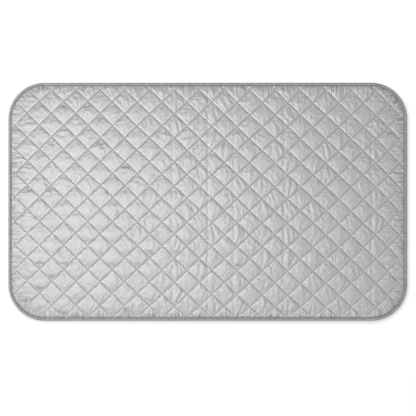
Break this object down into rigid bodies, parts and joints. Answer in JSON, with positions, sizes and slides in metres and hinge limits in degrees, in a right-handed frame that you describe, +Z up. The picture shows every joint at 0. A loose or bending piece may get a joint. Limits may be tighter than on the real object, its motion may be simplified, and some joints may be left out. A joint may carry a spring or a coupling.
{
  "type": "ironing pad",
  "caption": "Thin rectangular quilted ironing pad with round corners: silver metallised face cloth, padded diamonds, backing cloth and a bound edge. It lies flat on a table.",
  "frame": {"origin": "middle of the underside, on the plane that the pad lies on", "axes": "+X along the pad, +Y across it, +Z up out of the face cloth"},
  "size_m": [0.85, 0.507, 0.005],
  "materials": {
    "face_cloth": "silver metallised plain weave, satin sheen",
    "wadding": "white fibre wadding, matt",
    "backing": "grey plain weave, matt",
    "binding": "grey woven tape, slight sheen",
    "thread": "grey spun sewing thread"
  },
  "bodies": {
    "root": {"backing_cloth": "backing", "wadding": "wadding", "top_cloth": "face_cloth", "quilt_thread_rising_01": "thread", "quilt_thread_rising_02": "thread", "quilt_thread_rising_03": "thread", "quilt_thread_rising_04": "thread", "quilt_thread_rising_05": "thread", "quilt_thread_rising_06": "thread", "quilt_thread_rising_07": "thread", "quilt_thread_rising_08": "thread", "quilt_thread_rising_09": "thread", "quilt_thread_rising_10": "thread", "quilt_thread_rising_11": "thread", "quilt_thread_rising_12": "thread", "quilt_thread_rising_13": "thread", "quilt_thread_rising_14": "thread", "quilt_thread_rising_15": "thread", "quilt_thread_rising_16": "thread", "quilt_thread_rising_17": "thread", "quilt_thread_rising_18": "thread", "quilt_thread_rising_19": "thread", "quilt_thread_rising_20": "thread", "quilt_thread_rising_21": "thread", "quilt_thread_rising_22": "thread", "quilt_thread_rising_23": "thread", "quilt_thread_falling_01": "thread", "quilt_thread_falling_02": "thread", "quilt_thread_falling_03": "thread", "quilt_thread_falling_04": "thread", "quilt_thread_falling_05": "thread", "quilt_thread_falling_06": "thread", "quilt_thread_falling_07": "thread", "quilt_thread_falling_08": "thread", "quilt_thread_falling_09": "thread", "quilt_thread_falling_10": "thread", "quilt_thread_falling_11": "thread", "quilt_thread_falling_12": "thread", "quilt_thread_falling_13": "thread", "quilt_thread_falling_14": "thread", "quilt_thread_falling_15": "thread", "quilt_thread_falling_16": "thread", "quilt_thread_falling_17": "thread", "quilt_thread_falling_18": "thread", "quilt_thread_falling_19": "thread", "quilt_thread_falling_20": "thread", "quilt_thread_falling_21": "thread", "quilt_thread_falling_22": "thread", "quilt_thread_falling_23": "thread", "quilt_thread_falling_24": "thread", "binding_tape": "binding", "binding_needle_thread": "thread", "binding_bobbin_thread": "thread"}
  },
  "joints": []
}
